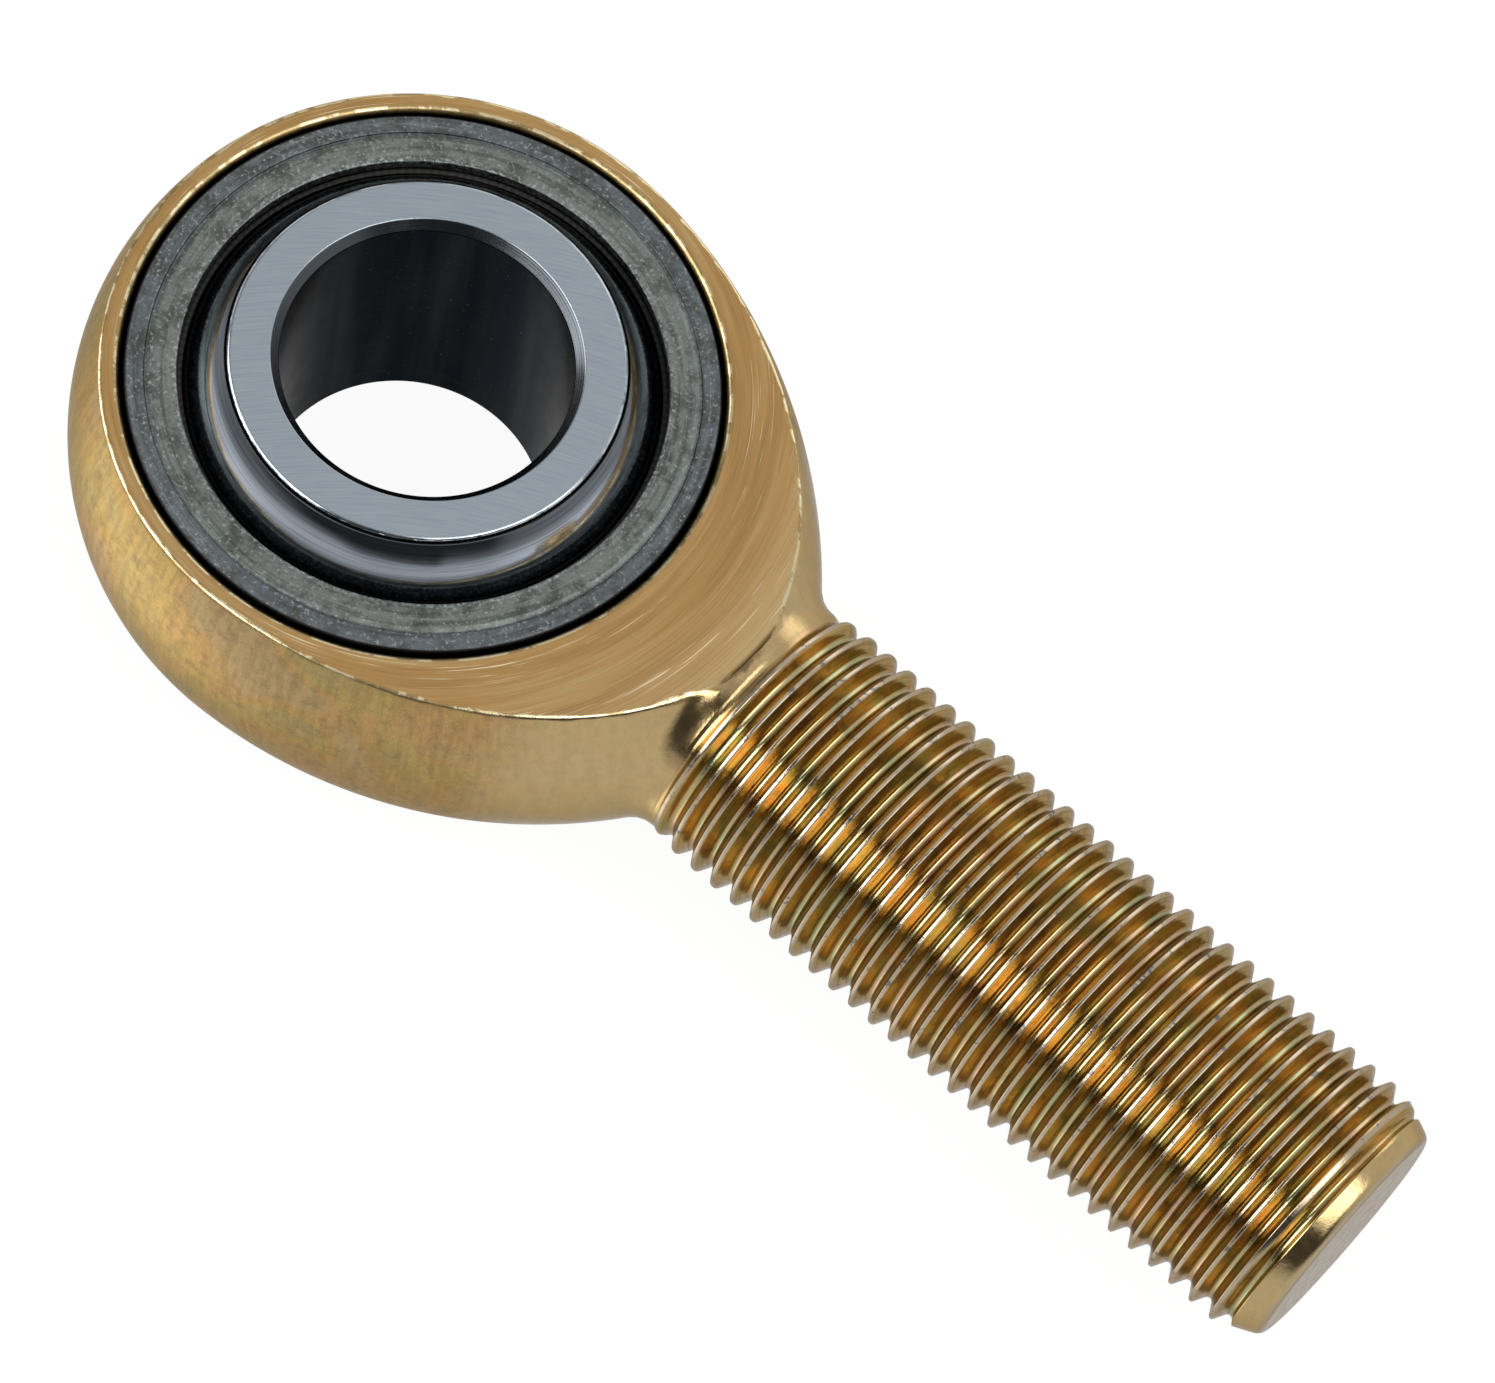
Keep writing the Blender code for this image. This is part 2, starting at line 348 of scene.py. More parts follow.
def arc_points(radius, start, end, steps):
    """Corners without rounding along an arc about the origin, its angles measured from the bore's axis."""
    points = []
    for step in range(steps + 1):
        angle = start + (end - start) * step / steps
        points.append((radius * math.sin(angle), radius * math.cos(angle), 0))
    return points


# ---------------------------------------------------------------- body


def head_stations():
    """Places along X of the head's rings, from beside its far pole to the thread's start."""
    sphere_end = math.pi / 2 - SHOULDER_START
    stations = []
    for step in range(1, SPHERE_RINGS + 1):
        angle = math.pi + (sphere_end - math.pi) * step / SPHERE_RINGS
        stations.append(HEAD_RADIUS * math.cos(angle))
    for step in range(1, SHOULDER_RINGS + 1):
        stations.append(TANGENT_X + (THREAD_START - TANGENT_X) * step / SHOULDER_RINGS)
    return stations


def turned_head():
    """The uncut head: rings about the X axis with a flat end where the thread starts."""
    bm = bmesh.new()
    angles = [2 * math.pi * step / SHANK_STEPS for step in range(SHANK_STEPS)]
    pole = bm.verts.new((-HEAD_RADIUS, 0, 0))
    rings = []
    for x in head_stations():
        radius = head_radius(x)
        rings.append([bm.verts.new((x, radius * math.cos(a), radius * math.sin(a))) for a in angles])
    for step in range(SHANK_STEPS):
        beside = (step + 1) % SHANK_STEPS
        bm.faces.new((pole, rings[0][beside], rings[0][step]))
        for near, far in zip(rings, rings[1:]):
            bm.faces.new((near[step], near[beside], far[beside], far[step]))
    bm.faces.new(rings[-1])
    bmesh.ops.recalc_face_normals(bm, faces=bm.faces)
    mesh = bpy.data.meshes.new("head")
    bm.to_mesh(mesh)
    bm.free()
    return new_object("head", mesh)


def head_radius(x):
    """Radius of the uncut head at a place along the shank's axis."""
    if x < TANGENT_X:
        return math.sqrt(max(HEAD_RADIUS**2 - x**2, 0))
    if x < SHOULDER_END_X:
        return SHOULDER_CENTRE[0] + math.sqrt(SHOULDER_RADIUS**2 - (x - SHOULDER_CENTRE[1]) ** 2)
    return FILLET_HEIGHT - math.sqrt(NECK_FILLET**2 - max(FILLET_X - x, 0) ** 2)


def cutter(name, profile):
    """A solid turned about Z from an open profile that starts and ends on the axis."""
    bm = bmesh.new()
    verts = [bm.verts.new((r, 0, z)) for r, z in profile]
    edges = [bm.edges.new(pair) for pair in zip(verts, verts[1:])]
    bmesh.ops.spin(
        bm, geom=verts + edges, axis=(0, 0, 1), cent=(0, 0, 0), steps=RING_STEPS, angle=2 * math.pi
    )
    bmesh.ops.remove_doubles(bm, verts=bm.verts, dist=CUTTER_WELD_DISTANCE)
    bmesh.ops.recalc_face_normals(bm, faces=bm.faces)
    mesh = bpy.data.meshes.new(name)
    bm.to_mesh(mesh)
    bm.free()
    return new_object(name, mesh)


def facing_cutter(side):
    """Cuts one flat of the head. Its lower outer corner is round and leaves a fillet at the neck."""
    clear = HEAD_RADIUS + CUTTER_OVERRUN
    profile = [(0, HEAD_HALF_WIDTH)]
    for step in range(FACING_ARC_STEPS + 1):
        turn = math.pi / 2 * step / FACING_ARC_STEPS
        radius = FACING_RADIUS - FACING_FILLET + FACING_FILLET * math.sin(turn)
        profile.append((radius, HEAD_HALF_WIDTH + FACING_FILLET * (1 - math.cos(turn))))
    profile += [(FACING_RADIUS, clear), (0, clear)]
    return cutter("facing", [(r, side * z) for r, z in profile])


def seat_cutter():
    """Cuts the race's seat, flared at both mouths."""
    top = HEAD_HALF_WIDTH + CUTTER_OVERRUN
    mouth_shade = SEAT_MOUTH_RADIUS + SEAT_FLARE * CUTTER_OVERRUN
    seat_height = HEAD_HALF_WIDTH - SEAT_CHAMFER_DEPTH
    profile = [
        (0, top),
        (mouth_shade, top),
        (SEAT_RADIUS, seat_height),
        (SEAT_RADIUS, -seat_height),
        (mouth_shade, -top),
        (0, -top),
    ]
    return cutter("seat", profile)


def cut_head():
    """The head with its flats and seat cut, as a bmesh with fine rings beside every edge."""
    head = turned_head()
    for tool in (facing_cutter(1), facing_cutter(-1), seat_cutter()):
        cut = head.modifiers.new(tool.name, "BOOLEAN")
        cut.operation = "DIFFERENCE"
        cut.solver = "EXACT"
        cut.object = tool
    graph = bpy.context.evaluated_depsgraph_get()
    mesh = bpy.data.meshes.new_from_object(head.evaluated_get(graph))
    bm = bmesh.new()
    bm.from_mesh(mesh)
    for obj in [head] + [modifier.object for modifier in head.modifiers]:
        bpy.data.objects.remove(obj)
    bmesh.ops.remove_doubles(bm, verts=bm.verts, dist=WELD_DISTANCE)
    add_edge_rings(bm)
    return bm


def flat_faces(bm):
    flats = []
    for face in bm.faces:
        if all(abs(abs(v.co.z) - HEAD_HALF_WIDTH) < PLANE_TOLERANCE for v in face.verts):
            flats.append(face)
    return flats


def add_edge_rings(bm):
    """Rings of short faces along the flats' outlines, on the barrel's side and on the flats."""
    flats = flat_faces(bm)
    inside = set(flats)
    outline = unique(e for f in flats for e in f.edges if not inside.issuperset(e.link_faces))
    long_edges = [e for e in outline if e.calc_length() > LONGEST_OUTLINE_EDGE]
    bmesh.ops.subdivide_edges(bm, edges=long_edges, cuts=1)
    for depth in EDGE_RINGS:
        for side in (-1, 1):
            slice_head(bm, side * (HEAD_HALF_WIDTH - depth))
    region = flat_faces(bm)
    previous = 0
    for depth in EDGE_RINGS:
        bmesh.ops.inset_region(bm, faces=region, thickness=depth - previous, use_even_offset=True)
        region = [face for face in region if face.is_valid]
        previous = depth


def slice_head(bm, height):
    """Cuts the head's faces along a level plane, and leaves its end ring at the thread's start whole."""
    faces = [f for f in bm.faces if all(v.co.x < THREAD_START - HEAD_END_MARGIN for v in f.verts)]
    edges = unique(e for f in faces for e in f.edges)
    verts = unique(v for f in faces for v in f.verts)
    bmesh.ops.bisect_plane(
        bm,
        geom=verts + edges + faces,
        dist=PLANE_TOLERANCE,
        plane_co=(0, 0, height),
        plane_no=(0, 0, 1),
    )


def shank_grid(bm, start_ring):
    """The threaded shank as a grid whose lines follow the thread, joined to the head's last ring."""
    offsets = thread_offsets()
    lines = thread_lines(offsets)
    columns = []
    end_ring = []
    for step in range(SHANK_STEPS):
        angle = 2 * math.pi * step / SHANK_STEPS
        low = start_ring[step]
        high = bm.verts.new(shank_point(GRID_END, angle))
        end_ring.append(high)
        column = []
        for line in lines:
            x = line - THREAD_PITCH * step / SHANK_STEPS
            if x <= THREAD_START + SHORTEST_GRID_STEP:
                column.append(low)
            elif x >= GRID_END - SHORTEST_GRID_STEP:
                column.append(high)
            else:
                column.append(bm.verts.new(shank_point(x, angle)))
        columns.append(column)
    # After a full turn each line meets the one a pitch before it.
    columns.append([columns[0][0]] * len(offsets) + columns[0][: -len(offsets)])
    for here, beside in zip(columns, columns[1:]):
        for i in range(len(lines) - 1):
            corners = unique((here[i], beside[i], beside[i + 1], here[i + 1]))
            if len(corners) > 2:
                bm.faces.new(corners)
    return end_ring


def thread_lines(offsets):
    """Places along X of the grid's lines where they start, from before the thread to past the shank's end."""
    first_turn = math.floor((THREAD_START - CREST_PLACE) / THREAD_PITCH) - 1
    last_turn = math.ceil((GRID_END - CREST_PLACE) / THREAD_PITCH) + 2
    lines = []
    for turn in range(first_turn, last_turn + 1):
        lines += [CREST_PLACE + (turn + offset) * THREAD_PITCH for offset in offsets]
    return lines


def thread_offsets():
    """Places of the grid's lines across one pitch, from crest to crest, close at the crest and the root."""
    crest = CREST_HALF_WIDTH / THREAD_PITCH
    root = ROOT_HALF_WIDTH / THREAD_PITCH
    half = [crest * share for share in CREST_LINES] + [FLANK_LINE]
    half += [0.5 - root * share for share in ROOT_LINES]
    return half + [0.5] + [1 - place for place in reversed(half[1:])]


def shank_point(x, angle):
    radius = float(shank_radius(np.array(x), np.array(angle)))
    return (x, radius * math.cos(angle), radius * math.sin(angle))


def close_shank_end(bm, ring):
    """Rings over the chamfer's round corner and the end face, closed by a small disc."""
    start_radius = math.hypot(ring[0].co.y, ring[0].co.z)
    corner_radius = CREST_RADIUS - END_CHAMFER_SLOPE * (SHANK_END - END_CHAMFER_START)
    places = []
    for share in SHANK_CORNER_SHARES:
        radius = start_radius + (corner_radius - start_radius) * share
        places.append((radius, GRID_END + (SHANK_END - GRID_END) * share))
    places += [(corner_radius - inset, SHANK_END) for inset in SHANK_END_INSETS]
    for radius, x in places:
        beyond = []
        for step in range(SHANK_STEPS):
            angle = 2 * math.pi * step / SHANK_STEPS
            beyond.append(bm.verts.new((x, radius * math.cos(angle), radius * math.sin(angle))))
        for step in range(SHANK_STEPS):
            after = (step + 1) % SHANK_STEPS
            bm.faces.new((ring[step], ring[after], beyond[after], beyond[step]))
        ring = beyond
    bm.faces.new(ring)


def make_body():
    bm = cut_head()
    cap = [f for f in bm.faces if all(abs(v.co.x - THREAD_START) < PLANE_TOLERANCE for v in f.verts)]
    ring = unique(v for f in cap for v in f.verts)
    bmesh.ops.delete(bm, geom=cap, context="FACES_ONLY")
    ring.sort(key=lambda v: (math.atan2(v.co.z, v.co.y) + ANGLE_TOLERANCE) % (2 * math.pi))
    end_ring = shank_grid(bm, ring)
    close_shank_end(bm, end_ring)
    bmesh.ops.recalc_face_normals(bm, faces=bm.faces)

    points, normals = settle(np.array([v.co for v in bm.verts]))
    mesh = bpy.data.meshes.new("rod_end_body_fine")
    bm.to_mesh(mesh)
    bm.free()
    mesh.vertices.foreach_set("co", (points * MM).astype(np.float32).ravel())
    mesh.shade_smooth()
    mesh.normals_split_custom_set_from_vertices(normals.tolist())
    return new_object("rod_end_body_fine", mesh)


def settle(points):
    """The points moved onto the body's exact surface, and the surface's normals there."""
    edge_round = worn_edge_round(points)
    for _ in range(SETTLE_ROUNDS):
        slopes = slope_of(points, edge_round)
        depth = body_distance(points, edge_round)
        points = points - (depth / (slopes**2).sum(axis=1))[:, None] * slopes
    slopes = slope_of(points, edge_round)
    return points, -slopes / np.linalg.norm(slopes, axis=1)[:, None]


# ---------------------------------------------------------------- ball, race and liner


def make_ball():
    face_angle = math.acos(BALL_HALF_WIDTH / BALL_RADIUS)
    face_radius = BALL_RADIUS * math.sin(face_angle)
    mouth_radius = BORE_RADIUS + BORE_CHAMFER
    chamfer_height = BALL_HALF_WIDTH - BORE_CHAMFER
    edge = BALL_EDGE_ROUND
    sphere_start = face_angle + BALL_ARC_INSET
    corners = [(face_radius, BALL_HALF_WIDTH, edge)]
    corners += arc_points(BALL_RADIUS, sphere_start, math.pi - sphere_start, BALL_ARC_STEPS)
    corners += [
        (face_radius, -BALL_HALF_WIDTH, edge),
        (mouth_radius, -BALL_HALF_WIDTH, edge / 2),
        (BORE_RADIUS, -chamfer_height, edge / 2),
        (BORE_RADIUS, chamfer_height, edge / 2),
        (mouth_radius, BALL_HALF_WIDTH, edge / 2),
    ]
    mesh = turned_mesh("ball_fine", rounded_profile(corners, LONGEST_BALL_STEP), RING_STEPS)
    return new_object("ball_fine", mesh)


def make_race():
    relief_angle = math.asin(RACE_RELIEF_RADIUS / RACE_SPHERE_RADIUS)
    half = RACE_HALF_WIDTH
    groove = RACE_GROOVE_RADIUS
    depth = RACE_GROOVE_DEPTH
    # Radius, height and rounding of each corner, from the bore outwards
    top = [
        (RACE_RELIEF_RADIUS, half - 0.06, 0.10),
        (groove - 0.30, half - 0.05, 0.20),
        (groove - 0.05, half - depth, 0.04),
        (groove + 0.05, half - depth, 0.03),
        (groove + 0.10, half, 0.05),
        (RACE_OUTER_RADIUS, half, 0.18),
    ]
    bottom = [(radius, -height, rounding) for radius, height, rounding in reversed(top)]
    bore = arc_points(RACE_SPHERE_RADIUS, math.pi - relief_angle, relief_angle, RACE_ARC_STEPS)
    mesh = turned_mesh("outer_race_fine", rounded_profile(top + bottom + bore, LONGEST_STEP), RING_STEPS)
    return new_object("outer_race_fine", mesh)


def make_liner():
    outer_radius = LINER_INNER_RADIUS + LINER_THICKNESS
    outer_angle = math.acos(LINER_HALF_WIDTH / outer_radius)
    inner_angle = math.acos(LINER_HALF_WIDTH / LINER_INNER_RADIUS)
    corners = arc_points(outer_radius, outer_angle, math.pi - outer_angle, LINER_ARC_STEPS)
    corners += arc_points(LINER_INNER_RADIUS, math.pi - inner_angle, inner_angle, LINER_ARC_STEPS)
    mesh = turned_mesh("ptfe_liner_fine", rounded_profile(corners, LONGEST_STEP), RING_STEPS)
    return new_object("ptfe_liner_fine", mesh)


# ---------------------------------------------------------------- node helper


class Nodes:
    """Short calls that add nodes to one tree. Lengths read from position() are in millimetres."""

    def __init__(self, tree):
        self.tree = tree

    def add(self, kind, **settings):
        node = self.tree.nodes.new(kind)
        for name, value in settings.items():
            setattr(node, name, value)
        return node

    def feed(self, socket, value):
        """Links a socket to another one's value, or sets its own."""
        if isinstance(value, bpy.types.NodeSocket):
            self.tree.links.new(value, socket)
        elif isinstance(value, tuple) and len(value) == 3 and socket.type == "RGBA":
            socket.default_value = (*value, 1)
        else:
            socket.default_value = value

    def math(self, operation, *values):
        node = self.add("ShaderNodeMath", operation=operation)
        for socket, value in zip(node.inputs, values):
            self.feed(socket, value)
        return node.outputs[0]

    def vector(self, operation, *values):
        node = self.add("ShaderNodeVectorMath", operation=operation)
        for socket, value in zip(node.inputs, values):
            self.feed(socket, value)
        return node.outputs["Value" if operation in ("DOT_PRODUCT", "LENGTH", "DISTANCE") else "Vector"]

    def position(self):
        """The place on the piece at rest, in millimetres in the part's frame."""
        place = self.add("ShaderNodeTexCoord").outputs["Object"]
        return self.vector("MULTIPLY", place, (1 / MM, 1 / MM, 1 / MM))

    def product(self, *values):
        """Several values multiplied together."""
        result = values[0]
        for value in values[1:]:
            result = self.math("MULTIPLY", result, value)
        return result

    def split(self, vector):
        node = self.add("ShaderNodeSeparateXYZ")
        self.feed(node.inputs[0], vector)
        return node.outputs[0], node.outputs[1], node.outputs[2]

    def join(self, x, y, z=0.0):
        node = self.add("ShaderNodeCombineXYZ")
        for socket, value in zip(node.inputs, (x, y, z)):
            self.feed(socket, value)
        return node.outputs[0]

    def scaled(self, *pairs):
        """A vector of two or three values, each given with its scale."""
        return self.join(*[self.product(value, scale) for value, scale in pairs])

    def hypot(self, a, b):
        return self.vector("LENGTH", self.join(a, b))

    def noise(self, vector, scale, detail, roughness, distortion=0.0):
        node = self.add("ShaderNodeTexNoise")
        self.feed(node.inputs["Vector"], vector)
        node.inputs["Scale"].default_value = scale
        node.inputs["Detail"].default_value = detail
        node.inputs["Roughness"].default_value = roughness
        node.inputs["Distortion"].default_value = distortion
        return node.outputs["Fac"]

    def between(self, value, low, high, start=0.0, end=1.0):
        """Smooth change from start to end as value goes from low to high."""
        node = self.add("ShaderNodeMapRange", interpolation_type="SMOOTHSTEP")
        names = ("Value", "From Min", "From Max", "To Min", "To Max")
        for name, given in zip(names, (value, low, high, start, end)):
            self.feed(node.inputs[name], given)
        return node.outputs[0]

    def fading(self, value, low, high):
        """1 up to the low value, then smoothly to 0 at the high one."""
        return self.between(value, low, high, 1.0, 0.0)

    def blend(self, factor, first, second):
        """One value where factor is 0, the other where it is 1."""
        node = self.add("ShaderNodeMix", data_type="FLOAT")
        self.feed(node.inputs[0], factor)
        self.feed(node.inputs[2], first)
        self.feed(node.inputs[3], second)
        return node.outputs[0]

    def mix(self, factor, first, second):
        """One colour where factor is 0, the other where it is 1."""
        node = self.add("ShaderNodeMix", data_type="RGBA")
        self.feed(node.inputs["Factor"], factor)
        self.feed(node.inputs[6], first)
        self.feed(node.inputs[7], second)
        return node.outputs[2]

    def ramp(self, value, stops):
        node = self.add("ShaderNodeValToRGB")
        colours = node.color_ramp
        while len(colours.elements) < len(stops):
            colours.elements.new(0.5)
        for element, (place, colour) in zip(colours.elements, stops):
            element.position = place
            element.color = (*colour, 1)
        self.feed(node.inputs[0], value)
        return node.outputs["Color"]

    def bump(self, height, depth, normal=None):
        """Bump of this depth, in millimetres, where the height goes from 0 to 1."""
        node = self.add("ShaderNodeBump")
        node.inputs["Distance"].default_value = depth * MM
        self.feed(node.inputs["Height"], height)
        if normal is not None:
            self.feed(node.inputs["Normal"], normal)
        return node.outputs[0]


def start_material(name, metallic, edge_tint=(1, 1, 1)):
    """A new material, its shader and the helper for its nodes."""
    material = bpy.data.materials.new(name)
    material.use_nodes = True
    shader = material.node_tree.nodes["Principled BSDF"]
    shader.inputs["Metallic"].default_value = metallic
    shader.inputs["Specular Tint"].default_value = (*edge_tint, 1)
    return material, shader, Nodes(material.node_tree)


# ---------------------------------------------------------------- materials


# Colours of the gold chromate, with painted light towards the neck, a painted highlight on the worn edges and
# painted shade in the seat's mouth
GOLD_EDGE_TINT = (0.62, 0.57, 0.50)
NECK_PAINTED_LIGHT_GOLD = (0.66, 0.50, 0.26)
WORN_DULL = (0.40, 0.29, 0.14)
WORN_EDGE_HIGHLIGHT = (0.80, 0.68, 0.42)
END_DULL = (0.46, 0.36, 0.24)
END_PALE = (0.58, 0.49, 0.36)
SEAT_SHADE = (0.035, 0.022, 0.010)
BARREL_DULL = (0.25, 0.20, 0.12)
BARREL_STREAK = (0.27, 0.19, 0.085)
BARREL_DARK_GRAIN = (0.30, 0.22, 0.11)
BARREL_BRIGHT_GRAIN = (0.70, 0.55, 0.30)
FLAT_PAINTED_LIGHT_GOLD = (0.68, 0.50, 0.26)
FLAT_DARK_LINE = (0.22, 0.13, 0.06)
FLAT_BRIGHT_LINE = (0.68, 0.52, 0.29)
FLAT_GLINT = (0.98, 0.84, 0.56)
FLANK_DARK_LINE = (0.16, 0.10, 0.035)
FLANK_STAIN = (0.13, 0.095, 0.055)
CREST_BEIGE = (0.56, 0.47, 0.35)
CREST_NICK = (0.22, 0.21, 0.20)

# Colours of the race, ball and liner, with painted shade, painted highlights and a painted reflection among
# them
STEEL_EDGE_TINT = (0.5, 0.5, 0.5)
RACE_OUTER_BAND = (0.155, 0.172, 0.185)
RACE_INNER_BAND = (0.215, 0.238, 0.218)
RACE_DULL = (0.075, 0.080, 0.066)
RACE_DARK_RING = (0.06, 0.065, 0.06)
RACE_BRIGHT_RING = (0.34, 0.37, 0.35)
RACE_SPECK = (0.40, 0.42, 0.42)
RACE_PIT = (0.03, 0.03, 0.03)
RACE_RIM_SHADE = (0.02, 0.02, 0.02)
RACE_GLINT = (0.50, 0.52, 0.53)
RACE_MOUTH_SHADE = (0.010, 0.010, 0.012)
FACE_DARK = (0.34, 0.39, 0.44)
FACE_BRIGHT = (0.40, 0.455, 0.50)
SPHERE_DARK = (0.13, 0.145, 0.17)
SPHERE_BRIGHT = (0.20, 0.215, 0.24)
SPHERE_PAINTED_REFLECTION = (0.56, 0.62, 0.70)
BALL_RIM_HIGHLIGHT = (0.76, 0.82, 0.88)
BALL_CHAMFER = (0.10, 0.11, 0.12)
BORE_SHADE_DARK = (0.007, 0.009, 0.012)
BORE_SHADE_LIGHT = (0.017, 0.019, 0.022)
BORE_DUST = (0.07, 0.075, 0.08)
WEAVE_DARK = (0.010, 0.010, 0.010)
WEAVE_BRIGHT = (0.035, 0.032, 0.028)

# Colour ramps: where each colour lies along the value, and the colour
BARREL_RAMP = (
    (0.28, (0.43, 0.34, 0.16)),
    (0.42, (0.50, 0.365, 0.145)),
    (0.50, (0.53, 0.365, 0.13)),
    (0.57, (0.56, 0.34, 0.135)),
    (0.66, (0.53, 0.37, 0.18)),
)
FLAT_RAMP = (
    (0.34, (0.43, 0.255, 0.095)),
    (0.47, (0.51, 0.30, 0.11)),
    (0.56, (0.56, 0.35, 0.14)),
    (0.66, (0.58, 0.41, 0.18)),
)
FLANK_RAMP = (
    (0.36, (0.38, 0.31, 0.12)),
    (0.47, (0.52, 0.345, 0.115)),
    (0.55, (0.53, 0.30, 0.09)),
    (0.64, (0.47, 0.37, 0.15)),
)
ROOT_RAMP = (
    (0.40, (0.44, 0.54, 0.34)),
    (0.52, (0.66, 0.56, 0.32)),
    (0.60, (0.68, 0.48, 0.38)),
)


def gold_chromate():
    """Yellow chromate over the forged and machined body: streaked barrel, turned flats, rolled thread,
    painted light towards the neck, a painted highlight on the flats' worn edges and painted shade in the
    seat's mouth.
    """
    material, shader, n = start_material("gold_chromate_body", 1.0, GOLD_EDGE_TINT)
    place = n.position()
    x, y, z = n.split(place)
    bore_distance = n.hypot(x, y)
    bore_angle = n.math("ARCTAN2", y, x)
    phase = thread_phase(n, x, y, z)
    flat = flat_area(n, bore_distance, z)
    neck = n.between(x, *NECK_GLOSS)
    shank = n.product(n.between(x, *THREAD_TINT_START), n.fading(x, *THREAD_TINT_END))
    mottle = n.noise(place, 1.6, 5.0, 0.6)
    grain = n.noise(place, 9.0, 3.0, 0.6)
    streaks = n.noise(n.scaled((bore_angle, 8.0), (z, 0.07), (x, 0.2)), 5.0, 4.0, 0.6)
    turned = n.noise(n.scaled((bore_distance, 5.0), (bore_angle, 1.5)), 2.0, 4.0, 0.65)
    rolled = n.noise(n.scaled((phase, 13.0), (x, 0.35)), 1.0, 3.0, 0.65)

    colour = barrel_colour(n, place, mottle, grain, streaks)
    # Painted light: the barrel and neck turn a paler gold towards the neck.
    colour = n.mix(n.product(neck, 0.55), colour, NECK_PAINTED_LIGHT_GOLD)
    colour = n.mix(flat, colour, flat_colour(n, bore_distance, bore_angle, turned))
    # Painted highlight: the worn edges are coloured pale, broken by a duller worn tone.
    worn = n.between(n.noise(place, 0.55, 5.0, 0.65), 0.45, 0.53)
    edge_wear_and_highlight = n.mix(worn, WORN_DULL, WORN_EDGE_HIGHLIGHT)
    colour = n.mix(worn_highlight_area(n, bore_distance, z), colour, edge_wear_and_highlight)
    colour = thread_colour(n, colour, place, phase, rolled, shank)
    end_face = n.between(x, SHANK_END - 0.30, SHANK_END - 0.10)
    end_colour = n.mix(mottle, END_DULL, END_PALE)
    colour = n.mix(end_face, colour, end_colour)
    mouth_shade = n.fading(bore_distance, SEAT_MOUTH_RADIUS - 0.18, SEAT_MOUTH_RADIUS - 0.10)
    colour = n.mix(mouth_shade, colour, SEAT_SHADE)
    n.feed(shader.inputs["Base Color"], colour)

    rough = n.between(mottle, 0.3, 0.7, 0.28, 0.38)
    n.feed(shader.inputs["Roughness"], n.math("SUBTRACT", rough, n.product(neck, 0.16)))

    lines = n.blend(shank, n.blend(flat, streaks, turned), rolled)
    normal = n.bump(lines, 0.014)
    normal = n.bump(grain, 0.004, normal)
    n.feed(shader.inputs["Normal"], n.bump(mottle, 0.012, normal))
    return material


def flat_area(n, bore_distance, z):
    """1 on the head's machined flats, 0 on the rest of the body."""
    level = n.between(n.math("ABSOLUTE", z), HEAD_HALF_WIDTH - 0.05, HEAD_HALF_WIDTH - 0.01)
    return n.product(level, n.fading(bore_distance, FACING_RADIUS, FACING_RADIUS + 0.1))


def worn_highlight_area(n, bore_distance, z):
    """1 on the worn edges of the head's flats, where a pale painted highlight goes, 0 elsewhere."""
    height = n.math("ABSOLUTE", z)
    rise = n.between(height, HEAD_HALF_WIDTH - 0.12, HEAD_HALF_WIDTH - 0.06)
    fall = n.fading(height, HEAD_HALF_WIDTH - 0.012, HEAD_HALF_WIDTH - 0.004)
    outside = n.between(bore_distance, SEAT_MOUTH_RADIUS - 0.14, SEAT_MOUTH_RADIUS - 0.06)
    beside_neck = n.fading(bore_distance, FACING_RADIUS - 0.5, FACING_RADIUS - 0.2)
    return n.product(rise, fall, outside, beside_neck)


def barrel_colour(n, place, mottle, grain, streaks):
    """Gold with soft olive, orange and pinkish patches, drawn out in streaks across the head's width."""
    patches = n.noise(place, 0.15, 2.0, 0.5, 0.8)
    patches = n.math("MULTIPLY_ADD", n.math("SUBTRACT", streaks, 0.5), 0.12, patches)
    colour = n.ramp(patches, BARREL_RAMP)
    colour = n.mix(n.between(mottle, 0.46, 0.72, 0.0, 0.45), colour, BARREL_DULL)
    colour = n.mix(n.between(streaks, 0.40, 0.60, 0.34, 0.0), colour, BARREL_STREAK)
    colour = n.mix(n.between(grain, 0.32, 0.46, 0.40, 0.0), colour, BARREL_DARK_GRAIN)
    return n.mix(n.between(grain, 0.55, 0.72, 0.0, 0.35), colour, BARREL_BRIGHT_GRAIN)


def flat_colour(n, bore_distance, bore_angle, turned):
    """Orange gold in turned arcs, with painted light making it paler near the neck, and short glints."""
    arc_place = n.scaled((bore_distance, 0.9), (bore_angle, 0.9))
    colour = n.ramp(n.noise(arc_place, 0.9, 3.0, 0.55), FLAT_RAMP)
    # Painted light: paler gold on the flats towards the neck.
    colour = n.mix(n.between(bore_distance, *PAINTED_LIGHT_SPAN_ON_FLAT, 0.0, 0.5), colour, FLAT_PAINTED_LIGHT_GOLD)
    colour = n.mix(n.between(turned, 0.32, 0.52, 0.30, 0.0), colour, FLAT_DARK_LINE)
    colour = n.mix(n.between(turned, 0.60, 0.72, 0.0, 0.7), colour, FLAT_BRIGHT_LINE)
    glint_place = n.scaled((bore_distance, 9.0), (bore_angle, 2.2))
    glints = n.between(n.noise(glint_place, 1.0, 3.0, 0.6), 0.60, 0.66)
    patches = n.between(n.noise(arc_place, 0.7, 2.0, 0.5), 0.46, 0.60)
    return n.mix(n.product(glints, patches), colour, FLAT_GLINT)


